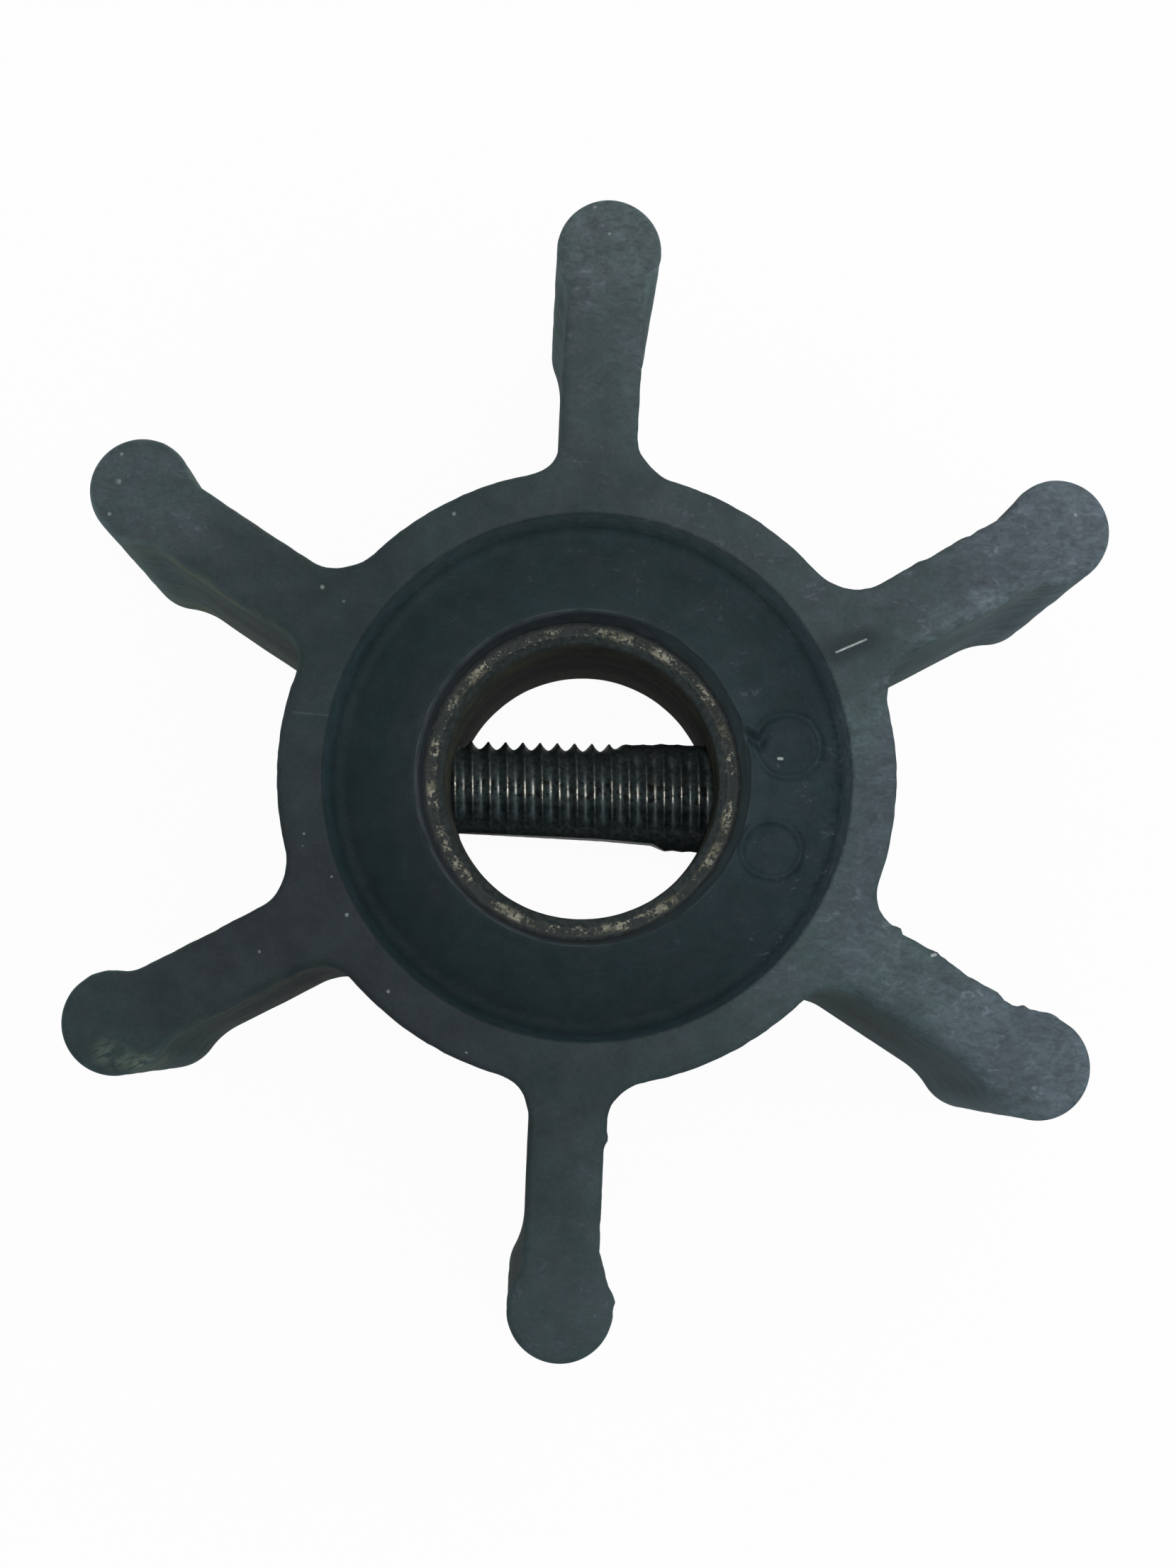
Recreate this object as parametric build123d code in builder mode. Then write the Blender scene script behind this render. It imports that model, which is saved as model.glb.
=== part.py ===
from build123d import *
import os

# Flexible-vane pump impeller, in millimetres. The rubber body is moulded round a turned
# bronze bush, and a headless drive screw crosses the bush's bore at mid-width.
# It lies on its back face: the shaft axis is Z, and the origin is the centre of that face.
# The first vane points along +Y, and the drive screw lies along X.

# Rubber body: hub and vanes
vane_count = 6
tip_diameter = 51.0  # across the round ends of the vanes
body_width = 22.0  # along the shaft
hub_diameter = 27.0
vane_root_thickness = 3.3
vane_end_thickness = 3.35  # where the vane runs into its bulb
bulb_diameter = 4.6  # the thick round end of each vane, which seals on the pump's bore
bulb_blend_radius = 1.75
root_fillet_radius = 2.0

# Dished recess in each end of the hub
hub_rim_width = 1.95  # flat rim left round the recess, at the end face
recess_depth = 2.2  # at the foot of the rim
recess_wall_slope = 0.35  # how far the rim's inner wall leans in over that depth
recess_corner_chamfer = 0.4  # at the foot of that wall
lip_depth = 1.4  # the floor rises inwards to this depth
lip_slope = 0.3  # how far the lip's inner wall leans in, down to the bush
lip_chamfer = 0.25

# Bush
bush_bore = 12.0
bush_wall = 2.5
bush_inset = 3.0  # each end face lies this far below the rubber's
bush_ring_width = 1.05  # ring of the end face that the rubber leaves bare
bore_chamfer = 0.4
relief_depth = 0.25  # the bore is opened up where the drive screw crosses it
relief_margin = 0.5  # on each side of the screw
key_groove_width = 1.6  # V-shaped grooves round the outside, which the rubber fills
key_groove_depth = 0.7

# Drive screw
screw_diameter = 5.0
screw_inset = 0.5  # each end lies this far inside the bush's outside
screw_chamfer = 0.6
slot_width = 0.8
slot_depth = 1.0

# Sizes that follow
tip_radius = tip_diameter / 2
hub_radius = hub_diameter / 2
bulb_radius = bulb_diameter / 2
bulb_centre_radius = tip_radius - bulb_radius
vane_start_radius = hub_radius - vane_root_thickness / 2
half_width = body_width / 2
recess_radius = hub_radius - hub_rim_width
bore_radius = bush_bore / 2
bush_radius = bore_radius + bush_wall
bush_length = body_width - 2 * bush_inset
half_bush = bush_length / 2
ring_radius = bore_radius + bush_ring_width
lip_radius = ring_radius + lip_slope
relief_width = screw_diameter + 2 * relief_margin
key_groove_offset = (screw_diameter / 2 + half_bush) / 2
screw_length = 2 * (bush_radius - screw_inset)

# The vane profile's own x runs along the first vane. The section plane holds a half
# section through the axis: its x is the radius, and its y the height above mid-width.
vane_plane = Plane(origin=(0, 0, 0), x_dir=(0, 1, 0), z_dir=(0, 0, 1))
section_plane = Plane(origin=(0, 0, half_width), x_dir=(1, 0, 0), z_dir=(0, -1, 0))
screw_plane = Plane(origin=(-screw_length / 2, 0, half_width), x_dir=(0, 1, 0), z_dir=(1, 0, 0))


def axis_distance(vertex):
    """How far a corner of a flat profile lies from the shaft axis."""
    return Vector(vertex.X, vertex.Y).length


# Drive screw: a plain-ended cylinder along X, with a driver slot in its +X end
with BuildPart() as drive_screw:
    with BuildSketch(screw_plane):
        Circle(screw_diameter / 2)
    extrude(amount=screw_length)
    chamfer(drive_screw.edges().filter_by(GeomType.CIRCLE), screw_chamfer)
    with BuildSketch(screw_plane.offset(screw_length)):
        Rectangle(slot_width, screw_diameter)
    extrude(amount=-slot_depth, mode=Mode.SUBTRACT)
drive_screw.part.label = "drive_screw"

# Bush: turned, with chamfered bore mouths, a relief and two grooves, then cross-drilled
with BuildPart() as hub_bush:
    with BuildSketch(section_plane):
        with Locations(((bore_radius + bush_radius) / 2, 0)):
            turned = Rectangle(bush_wall, bush_length)
        chamfer(turned.vertices().group_by(Axis.X)[0], bore_chamfer)
        with Locations((bore_radius, 0)):
            Rectangle(2 * relief_depth, relief_width, mode=Mode.SUBTRACT)
        with Locations((bush_radius, key_groove_offset), (bush_radius, -key_groove_offset)):
            Polygon(
                (-key_groove_depth, 0),
                (0, -key_groove_width / 2),
                (0, key_groove_width / 2),
                align=None,
                mode=Mode.SUBTRACT,
            )
    revolve(axis=Axis.Z)
    with BuildSketch(Plane.YZ.offset(-bush_radius)):
        with Locations((0, half_width)):
            Circle(screw_diameter / 2)
    extrude(amount=2 * bush_radius, mode=Mode.SUBTRACT)
hub_bush.part.label = "hub_bush"

# Rubber body: hub and vanes in one, moulded round the bush and the ends of the screw
with BuildPart() as rubber_body:
    with BuildSketch(vane_plane) as vane_profile:
        Circle(hub_radius)
        with PolarLocations(0, vane_count):
            Polygon(
                (vane_start_radius, -vane_root_thickness / 2),
                (bulb_centre_radius, -vane_end_thickness / 2),
                (bulb_centre_radius, vane_end_thickness / 2),
                (vane_start_radius, vane_root_thickness / 2),
                align=None,
            )
        with PolarLocations(bulb_centre_radius, vane_count):
            Circle(bulb_radius)
        bulb_corners = vane_profile.vertices().group_by(axis_distance)[1]
        fillet(bulb_corners, bulb_blend_radius)
        root_corners = vane_profile.vertices().group_by(axis_distance)[0]
        fillet(root_corners, root_fillet_radius)
    extrude(amount=body_width)

    with BuildSketch(section_plane) as recess_section:
        with BuildLine():
            Polyline(
                (0, half_width),
                (recess_radius, half_width),
                (recess_radius - recess_wall_slope, half_width - recess_depth),
                (lip_radius, half_width - lip_depth),
                (ring_radius, half_bush),
                (0, half_bush),
                close=True,
            )
        make_face()
        # Counted inwards: the rim's edge, the foot of its wall (two ends once chamfered), the lip
        chamfer(recess_section.vertices().sort_by(Axis.X)[-2], recess_corner_chamfer)
        chamfer(recess_section.vertices().sort_by(Axis.X)[-4], lip_chamfer)
        mirror(about=Plane.XZ)
    revolve(axis=Axis.Z, mode=Mode.SUBTRACT)
    Hole(ring_radius)
    add(hub_bush.part, mode=Mode.SUBTRACT)
    add(drive_screw.part, mode=Mode.SUBTRACT)
rubber_body.part.label = "rubber_body"

os.makedirs("parts", exist_ok=True)
export_step(rubber_body.part, "parts/rubber_body.step")
export_step(hub_bush.part, "parts/hub_bush.step")
export_step(drive_screw.part, "parts/drive_screw.step")
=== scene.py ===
import functools
import math
from typing import NamedTuple

import bpy
import numpy as np
from mathutils import Matrix, Vector, noise
from mathutils.geometry import delaunay_2d_cdt


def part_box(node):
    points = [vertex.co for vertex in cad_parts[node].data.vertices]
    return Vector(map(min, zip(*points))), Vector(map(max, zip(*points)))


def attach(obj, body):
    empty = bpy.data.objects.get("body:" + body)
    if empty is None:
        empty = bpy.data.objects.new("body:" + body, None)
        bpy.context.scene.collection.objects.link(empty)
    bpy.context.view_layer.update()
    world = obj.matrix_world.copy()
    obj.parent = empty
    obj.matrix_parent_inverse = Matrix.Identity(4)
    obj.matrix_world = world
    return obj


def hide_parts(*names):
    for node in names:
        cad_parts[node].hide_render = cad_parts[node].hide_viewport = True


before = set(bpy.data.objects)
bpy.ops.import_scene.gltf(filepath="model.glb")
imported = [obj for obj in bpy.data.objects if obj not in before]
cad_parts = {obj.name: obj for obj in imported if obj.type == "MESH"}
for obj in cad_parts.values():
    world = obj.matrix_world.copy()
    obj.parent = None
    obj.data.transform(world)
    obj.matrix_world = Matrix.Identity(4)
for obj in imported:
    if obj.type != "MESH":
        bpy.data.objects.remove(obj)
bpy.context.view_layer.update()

# Lengths are worked out in millimetres and turned into metres when a mesh is made.
MM = 0.001

# Driving sizes, from the CAD nodes
BODY_LOW, BODY_HIGH = (np.array(corner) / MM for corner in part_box("rubber_body"))
BUSH_LOW, BUSH_HIGH = (np.array(corner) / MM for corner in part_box("hub_bush"))
SCREW_LOW, SCREW_HIGH = (np.array(corner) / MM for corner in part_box("drive_screw"))
FRONT = BODY_HIGH[2]
BACK = BODY_LOW[2]
MIDDLE = (FRONT + BACK) / 2
TIP_RADIUS = BODY_HIGH[1]
BUSH_RADIUS = BUSH_HIGH[0]
BUSH_FRONT = BUSH_HIGH[2]
BUSH_BACK = BUSH_LOW[2]
SCREW_END = SCREW_HIGH[0]
SCREW_RADIUS = (SCREW_HIGH[2] - SCREW_LOW[2]) / 2

# Rubber body, as in the CAD
VANE_COUNT = 6
HUB_RADIUS = 13.5
VANE_ROOT_HALF = 3.3 / 2
BULB_RADIUS = 2.3
RECESS_RADIUS = 11.55
RECESS_FOOT_RADIUS = 11.2
RECESS_DEPTH = 2.2
RECESS_CORNER = 0.6
LIP_RADIUS = 7.35
LIP_DEPTH = 1.4
LIP_ROUND = 0.14
LIP_SPREAD = 0.05  # the moulded lip lies this far out on average, and more so at the upper right
LIP_UNEVEN = 0.09
LIP_ANGLE = math.radians(45)
RING_RADIUS = 7.05


class Vane(NamedTuple):
    """How one vane has worn and set in use. Its left is its counter-clockwise side."""
    lean: float  # degrees about the shaft
    bow: float  # sideways, at the bulb
    tip: float  # from the shaft's axis, at the front
    end_half: float  # half the thickness beside the bulb
    blend_left: float  # radius between flank and bulb, at the front
    blend_right: float
    root_left: float  # radius between flank and hub
    root_right: float
    twist: float  # more degrees of lean at the back


# The first vane points along +Y, and the rest follow clockwise, seen from the front.
VANES = (
    Vane(0.6, -0.16, 25.49, 1.78, 1.75, 1.4, 1.8, 2.05, -0.05),
    Vane(-0.15, 0.13, 25.56, 1.69, 1.6, 1.55, 2.3, 2.4, -0.05),
    Vane(-0.4, 0.03, 25.56, 1.72, 1.9, 1.6, 1.7, 2.25, -0.2),
    Vane(-0.75, 0.15, 25.37, 1.63, 1.45, 1.75, 1.8, 2.2, 0.15),
    Vane(0.6, -0.16, 25.36, 1.62, 1.65, 1.4, 2.1, 2.1, 0.05),
    Vane(0.7, -0.33, 25.40, 1.61, 1.5, 1.65, 1.7, 2.1, -0.2),
)
BACK_TIP_WEAR = 0.54  # the tips are worn shorter towards the back
BACK_BLEND_GROWTH = 2.1  # and the bulbs run out more gently

# The bush sits a little off the axis in its rubber: its shift along X at each end
BUSH_SHIFT_FRONT = -0.2
BUSH_SHIFT_BACK = 0.12


# ---- numbers and profiles

def ease(value, low, high):
    """0 below low and 1 above high, with a smooth run between them."""
    t = np.clip((value - low) / (high - low), 0, 1)
    return t * t * (3 - 2 * t)


def soft_noise(points, size, seed):
    """Smooth noise of about -1 to 1 at each point; size is the width of its features in mm."""
    offset = Vector((17.3 * seed, -9.1 * seed, 5.7 * seed))
    return np.array([noise.noise(Vector(p) / size + offset) for p in points])


def noise_layers(points, layers):
    """The sum of layers of soft noise, each given as (height, width, seed)."""
    return sum(height * soft_noise(points, width, seed) for height, width, seed in layers)


def line_points(start, end, spacing):
    """Points from start to just before end."""
    start, end = np.array(start, float), np.array(end, float)
    count = max(1, math.ceil(np.linalg.norm(end - start) / spacing))
    return [start + (end - start) * i / count for i in range(count)]


def arc_points(centre, radius, start, end, steps):
    """Points of an arc from angle start to just before angle end, in radians."""
    angles = start + (end - start) * np.arange(steps) / steps
    return np.array(centre) + radius * np.stack([np.cos(angles), np.sin(angles)], 1)


def rounded_profile(corners, spacing):
    """A smooth path through corners, each given as (x, y, rounding radius)."""
    places = [np.array(corner[:2], float) for corner in corners]
    radii = [corner[2] for corner in corners[1:]]
    path = []
    last = places[0]
    for before, here, after, radius in zip(places, places[1:], places[2:], radii):
        towards = (before - here) / np.linalg.norm(before - here)
        away = (after - here) / np.linalg.norm(after - here)
        half = math.acos(np.clip(towards @ away, -1, 1)) / 2
        if radius <= 0:
            path += line_points(last, here, spacing)
            last = here
            continue
        reach = radius / math.tan(half)
        start, end = here + towards * reach, here + away * reach
        middle = (towards + away) / np.linalg.norm(towards + away)
        centre = here + middle * radius / math.sin(half)
        path += line_points(last, start, spacing)
        first = math.atan2(*(start - centre)[::-1])
        turn = math.atan2(*(end - centre)[::-1]) - first
        turn = (turn + math.pi) % (2 * math.pi) - math.pi
        steps = max(2, math.ceil(abs(turn) * radius / spacing))
        path += list(arc_points(centre, radius, first, first + turn, steps))
        last = end
    path += line_points(last, places[-1], spacing) + [places[-1]]
    return np.array(path)


# ---- meshes

def make_object(name, points, faces):
    """A smooth-shaded mesh object from points in mm."""
    mesh = bpy.data.meshes.new(name)
    mesh.from_pydata((np.asarray(points) * MM).tolist(), [], faces)
    mesh.validate()
    mesh.polygons.foreach_set("use_smooth", [True] * len(mesh.polygons))
    piece = bpy.data.objects.new(name, mesh)
    bpy.context.scene.collection.objects.link(piece)
    return piece


def band_faces(row_starts, count):
    """Quads between neighbouring closed rows of count points, given each row's first index."""
    return [
        (low + i, low + (i + 1) % count, high + (i + 1) % count, high + i)
        for low, high in zip(row_starts, row_starts[1:])
        for i in range(count)
    ]


def turned(profile, columns):
    """Rows of points made by turning a profile of (radius, height) about Z."""
    angles = np.arange(columns) * 2 * math.pi / columns
    x, y = np.cos(angles), np.sin(angles)
    return np.array([np.stack([r * x, r * y, np.full(columns, z)], 1) for r, z in profile])


# ---- the rubber body's outline

# Points along each stretch of half a vane, from its tip to the middle of the hub's arc
BULB_STEPS = 26
BLEND_STEPS = 10
FLANK_STEPS = 30
ROOT_STEPS = 13
HUB_STEPS = 18
BLEND_ROUNDS = 6  # enough for the centres of blend and root to settle
LEAN_START = 1.25  # the lean grows over this distance out of the hub


def half_vane(tip, end_half, blend, root):
    """The left side of a vane along +X, from its tip round the bulb, down the flank and out
    along the hub to halfway to the next vane."""
    bulb_centre = tip - BULB_RADIUS
    flank_start = HUB_RADIUS - VANE_ROOT_HALF
    slope = (end_half - VANE_ROOT_HALF) / (bulb_centre - flank_start)
    tilt = math.atan(slope)

    def flank(x):
        return VANE_ROOT_HALF + slope * (x - flank_start)

    blend_x = bulb_centre
    root_x = HUB_RADIUS
    for _ in range(BLEND_ROUNDS):
        blend_y = flank(blend_x) + blend / math.cos(tilt)
        blend_x = bulb_centre - math.sqrt((BULB_RADIUS + blend) ** 2 - blend_y ** 2)
        root_y = flank(root_x) + root / math.cos(tilt)
        root_x = math.sqrt((HUB_RADIUS + root) ** 2 - root_y ** 2)
    bulb_end = math.atan2(blend_y, blend_x - bulb_centre)
    hub_start = math.atan2(root_y, root_x)
    down = tilt - math.pi / 2
    foot = np.array((math.cos(down), math.sin(down)))
    outer = np.array((blend_x, blend_y)) + blend * foot
    inner = np.array((root_x, root_y)) + root * foot
    flank_share = np.arange(FLANK_STEPS)[:, None] / FLANK_STEPS
    return np.concatenate([
        arc_points((bulb_centre, 0), BULB_RADIUS, 0, bulb_end, BULB_STEPS),
        arc_points((blend_x, blend_y), blend, bulb_end - math.pi, down, BLEND_STEPS),
        outer + (inner - outer) * flank_share,
        arc_points((root_x, root_y), root, down, hub_start - math.pi, ROOT_STEPS),
        arc_points((0, 0), HUB_RADIUS, hub_start, math.pi / VANE_COUNT, HUB_STEPS),
    ])


def vane_sector(vane, depth_share):
    """The outline of one sixth of the body with its vane along +X, clockwise side first."""
    tip = vane.tip - BACK_TIP_WEAR * depth_share
    growth = BACK_BLEND_GROWTH * depth_share
    left = half_vane(tip, vane.end_half, vane.blend_left + growth, vane.root_left)
    right = half_vane(tip, vane.end_half, vane.blend_right + growth, vane.root_right)
    start = arc_points((0, 0), HUB_RADIUS, -math.pi / VANE_COUNT, 0, 1)
    return np.concatenate([start, right[1:][::-1] * (1, -1), left])


def body_outline(z):
    """The outline at height z, counter-clockwise, with each point's vane, place along it and
    side: +1 is the vane's left flank and -1 its right."""
    depth_share = (FRONT - z) / (FRONT - BACK)
    outline, vanes, along, side = [], [], [], []
    for index in reversed(range(VANE_COUNT)):
        vane = VANES[index]
        sector = vane_sector(vane, depth_share)
        x, y = sector.T
        free = ease(np.hypot(x, y), HUB_RADIUS, HUB_RADIUS + LEAN_START)
        bulb_centre = vane.tip - BULB_RADIUS
        y = y + vane.bow * np.clip((x - HUB_RADIUS) / (bulb_centre - HUB_RADIUS), 0, 1) ** 2
        lean = vane.lean + vane.twist * depth_share
        angle = math.radians(90 - 360 / VANE_COUNT * index) + np.radians(lean) * free
        cos, sin = np.cos(angle), np.sin(angle)
        outline.append(np.stack([x * cos - y * sin, x * sin + y * cos], 1))
        vanes.append(np.full(len(sector), index))
        along.append(sector[:, 0])
        side.append(np.sign(sector[:, 1]))
    return tuple(np.concatenate(values) for values in (outline, vanes, along, side))


def outward_normals(outline):
    step = np.roll(outline, -1, 0) - np.roll(outline, 1, 0)
    step /= np.linalg.norm(step, axis=1)[:, None]
    return np.stack([step[:, 1], -step[:, 0]], 1)


# Flash left by the mould along the front edges: (vane, side, from, to, height at each end),
# all in mm along the vane from the shaft axis. Side +1 is the counter-clockwise flank.
FLASH = (
    (2, 1, 14.1, 15, 0.08, 0.20), (2, 1, 15.3, 17, 0.04, 0.20), (2, 1, 17.3, 18.3, 0.14, 0.05),
    (2, 1, 18.8, 20.1, 0.05, 0.14), (2, 1, 21.3, 22.7, 0.22, 0.10),
    (1, 1, 15.9, 17.3, 0.02, 0.07), (1, 1, 18.2, 19.5, 0.02, 0.08),
    (1, 1, 20.2, 21.6, 0.07, 0.03), (3, 1, 14.4, 15.7, 0.05, 0.15),
    (3, -1, 20, 20.7, 0.02, 0.08), (3, 1, 21.6, 22.6, 0.05, 0.12), (4, 1, 17, 18.6, 0.02, 0.05),
    (0, -1, 18.5, 20, 0.02, 0.05),
)
FLASH_DEPTH = 0.6
FLASH_END = 0.35


def on_flank(vanes, side, index, flank_side):
    return (vanes == index) & (side == flank_side)


def flash_height(vanes, along, side):
    height = np.zeros(len(along))
    for index, flank_side, start, end, first, last in FLASH:
        share = np.clip((along - start) / (end - start), 0, 1)
        run = (first + (last - first) * share) * ease(along, start - FLASH_END, start)
        run *= 1 - ease(along, end, end + FLASH_END)
        height = np.where(on_flank(vanes, side, index, flank_side), np.maximum(height, run), height)
    return height


# Front edges worn rounder than the rest: (vane, side, from, to, radius)
EDGE_RADIUS = 0.26
EDGE_UNEVEN = ((0.06, 1.6, 1),)
WORN_EDGES = (
    (2, -1, 14.5, 24.5, 0.72), (1, -1, 15, 25, 0.48), (0, 1, 15, 24, 0.42), (5, 1, 14, 25, 0.46),
    (4, 1, 14, 25, 0.44),
)


def edge_radii(base, vanes, along, side):
    radii = EDGE_RADIUS + noise_layers(base, EDGE_UNEVEN)
    for index, flank_side, start, end, radius in WORN_EDGES:
        worn = (radius - EDGE_RADIUS) * ease(along, start - 1.5, start + 0.5)
        worn *= 1 - ease(along, end - 0.6, end + 0.4)
        radii += np.where(on_flank(vanes, side, index, flank_side), worn, 0)
    return radii


# ---- the recess floor's relief

# Two plain raised rings that the mould left: (distance from the axis, angle, ring radius)
MOULD_RINGS = ((9.05, 12, 1.40), (8.75, -18, 1.25))
RING_HEIGHT = 0.15
RING_HALF_WIDTH = 0.12
RING_SUNK = 0.05  # the floor inside them

# A torn nick in the lip, beside the first ring, and the flap of rubber raised beside it
NICK_ANGLE = 15.5
NICK_DEPTH = 0.55
NICK_HALF_WIDTH = 0.32
NICK_HALF_LENGTH = 0.6
NICK_OFFSET = 0.3  # out from the lip
NICK_WAVE = 0.18
FLAP_HEIGHT = 0.12
FLAP_HALF_WIDTH = 0.2
FLAP_HALF_LENGTH = 0.5
FLAP_ASIDE = 0.5
FLAP_OUT = 0.2


def polar_point(radius, degrees):
    return radius * math.cos(math.radians(degrees)), radius * math.sin(math.radians(degrees))


def floor_relief(x, y):
    """How far the front recess's floor stands above its plain dished form, in mm."""
    height = np.zeros_like(x)
    for distance, degrees, radius in MOULD_RINGS:
        centre_x, centre_y = polar_point(distance, degrees)
        off = np.hypot(x - centre_x, y - centre_y) - radius
        height += RING_HEIGHT * np.exp(-(off / RING_HALF_WIDTH) ** 2)
        height -= RING_SUNK * ease(-off, 0, 0.3)
    out_x, out_y = polar_point(1, NICK_ANGLE)
    outward = x * out_x + y * out_y - LIP_RADIUS - NICK_OFFSET
    across = y * out_x - x * out_y
    torn = across + NICK_WAVE * np.sin(outward * 6)
    wide, long = torn / NICK_HALF_WIDTH, outward / NICK_HALF_LENGTH
    height -= NICK_DEPTH * np.exp(-wide ** 2 - long ** 2)
    aside = (torn - FLAP_ASIDE) / FLAP_HALF_WIDTH
    out = (outward - FLAP_OUT) / FLAP_HALF_LENGTH
    return height + FLAP_HEIGHT * np.exp(-aside ** 2 - out ** 2)


def bush_shift(z):
    """How far off the axis the bush sits at height z."""
    share = (z - BUSH_BACK) / (BUSH_FRONT - BUSH_BACK)
    return BUSH_SHIFT_BACK + (BUSH_SHIFT_FRONT - BUSH_SHIFT_BACK) * share


# ---- the rubber body

FLOOR_SPACING = 0.1
BACK_FLOOR_SPACING = 0.5
RECESS_COLUMNS = 540
SIDE_ROWS = 15
EDGE_ROWS = 4
FACE_SPACING = 0.42
FACE_MARGIN = 0.26
FACE_JITTER = 0.25  # share of the spacing by which the points are moved at random


def recess_profile(face, seat, spacing):
    """(radius, height) from the rim's edge at the face, over the floor, to the bush's end."""
    inward = -1 if face > seat else 1
    corners = [
        (RECESS_RADIUS + 0.2, face, 0),
        (RECESS_RADIUS, face, 0.12),
        (RECESS_FOOT_RADIUS, face + inward * RECESS_DEPTH, RECESS_CORNER),
        (LIP_RADIUS, face + inward * LIP_DEPTH, LIP_ROUND),
        (RING_RADIUS, seat, 0),
    ]
    return rounded_profile(corners, spacing)


def points_inside(points, loop):
    """Which points lie inside a closed loop, by counting crossings."""
    x, y = points[:, 0], points[:, 1]
    inside = np.zeros(len(points), bool)
    for (x0, y0), (x1, y1) in zip(loop, np.roll(loop, -1, 0)):
        if y0 == y1:
            continue
        crosses = (y0 > y) != (y1 > y)
        inside ^= crosses & (x < (x1 - x0) * (y - y0) / (y1 - y0) + x0)
    return inside


def face_triangles(outer, inner, seed):
    """Extra points between an outer loop and a round inner loop, and triangles over all three.
    A triangle with all its corners on the inner loop would only close slivers of the hole."""
    rng = np.random.default_rng(seed)
    reach = np.abs(outer).max()
    ticks = np.arange(-reach, reach, FACE_SPACING)
    grid = np.stack(np.meshgrid(ticks, ticks), -1).reshape(-1, 2)
    grid += rng.uniform(-FACE_JITTER, FACE_JITTER, grid.shape) * FACE_SPACING
    inner_radius = np.hypot(*inner.T).min()
    grid = grid[np.hypot(*grid.T) > inner_radius + FACE_MARGIN]
    grid = grid[points_inside(grid, outer)]
    gaps = np.array([np.min(np.hypot(*(outer - point).T)) for point in grid])
    grid = grid[gaps > FACE_MARGIN]
    points = np.concatenate([outer, inner, grid])
    edges = [
        (start + i, start + (i + 1) % len(loop))
        for start, loop in ((0, outer), (len(outer), inner))
        for i in range(len(loop))
    ]
    points = [Vector(point) for point in points]
    _, _, triangles, origins, _, _ = delaunay_2d_cdt(points, edges, [], 1, 1e-6)
    triangles = [tuple(origins[i][0] for i in triangle) for triangle in triangles]
    hole = range(len(outer), len(outer) + len(inner))
    return grid, [triangle for triangle in triangles if not all(i in hole for i in triangle)]


# Nibbles out of the front edges, and waves down the sides
NIBBLE_DEPTH = 0.05
NIBBLES = (0.7, 7)  # width and seed
NIBBLE_THRESHOLD = 0.15
FINE_NIBBLES = ((0.02, 0.35, 8),)
NIBBLE_REACH = 1.2  # below the front face
SIDE_WAVES = ((0.03, 3, 3), (0.012, 0.9, 4))
SKIN = 0.01  # how far the sides lie inside the plain outline
FLASH_UNEVEN = (0.3, 0.35, 2)

# Rows of the sides: drops below the front edge's rounding, then evenly down to the back edge's
UPPER_DROPS = np.array((0, 0.35, 0.8))
LOWER_DROP = 1.6
FRONT_EDGE_GAP = 0.04
BACK_EDGE_GAP = 0.1


def side_rows():
    """Rows of the body's outside, from the front face's edge to the back face's edge."""
    outline, vanes, along, side = body_outline(FRONT)
    base = np.column_stack([outline, np.zeros(len(outline))])
    radii = edge_radii(base, vanes, along, side)
    flash = flash_height(vanes, along, side) * (1 + noise_layers(base, (FLASH_UNEVEN,)))
    nibbles = np.clip(soft_noise(base, *NIBBLES) - NIBBLE_THRESHOLD, 0, 1)
    nibbles = NIBBLE_DEPTH * nibbles + noise_layers(base, FINE_NIBBLES)
    reach = np.hypot(*outline.T)
    nibbles *= 1 - ease(reach, TIP_RADIUS - 2, TIP_RADIUS - 0.6)
    outward = outward_normals(outline)
    quarter = np.linspace(math.pi / 2, 0, EDGE_ROWS + 1)
    rows = []
    for phi in quarter:
        offset = flash * math.cos(phi) - radii * (1 - math.cos(phi)) - nibbles
        z = FRONT - radii * (1 - math.sin(phi))
        rows.append(np.column_stack([outline + outward * offset[:, None], z]))
    top = FRONT - radii.max() - FRONT_EDGE_GAP
    bottom = BACK + EDGE_RADIUS + BACK_EDGE_GAP
    lower = np.linspace(top - LOWER_DROP, bottom, SIDE_ROWS)
    for z in np.concatenate([top - UPPER_DROPS, lower]):
        xy = body_outline(z)[0]
        level = np.column_stack([xy, np.full(len(xy), z)])
        offset = flash * (1 - ease(FRONT - z, 0.3, FLASH_DEPTH + 0.7))
        offset += noise_layers(level, SIDE_WAVES) - SKIN
        offset -= nibbles * (1 - ease(FRONT - z, 0.3, NIBBLE_REACH))
        level[:, :2] += outward_normals(xy) * offset[:, None]
        rows.append(level)
    xy = body_outline(BACK)[0]
    outward = outward_normals(xy)
    for phi in quarter[::-1]:
        inset = EDGE_RADIUS * (1 - math.cos(phi)) + SKIN
        z = BACK + EDGE_RADIUS * (1 - math.sin(phi))
        rows.append(np.column_stack([xy - outward * inset, np.full(len(xy), z)]))
    return [np.clip(row, BODY_LOW, BODY_HIGH) for row in rows]


# The recess floor's texture, and how ragged the lip is round the bush
FLOOR_TEXTURE = ((0.018, 1.3, 5), (0.008, 0.45, 6))
LIP_RAGGED = ((0.05, 0.8, 9),)
RECESS_WALL_START = (10.8, 11.1)  # the relief fades out over these radii


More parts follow.
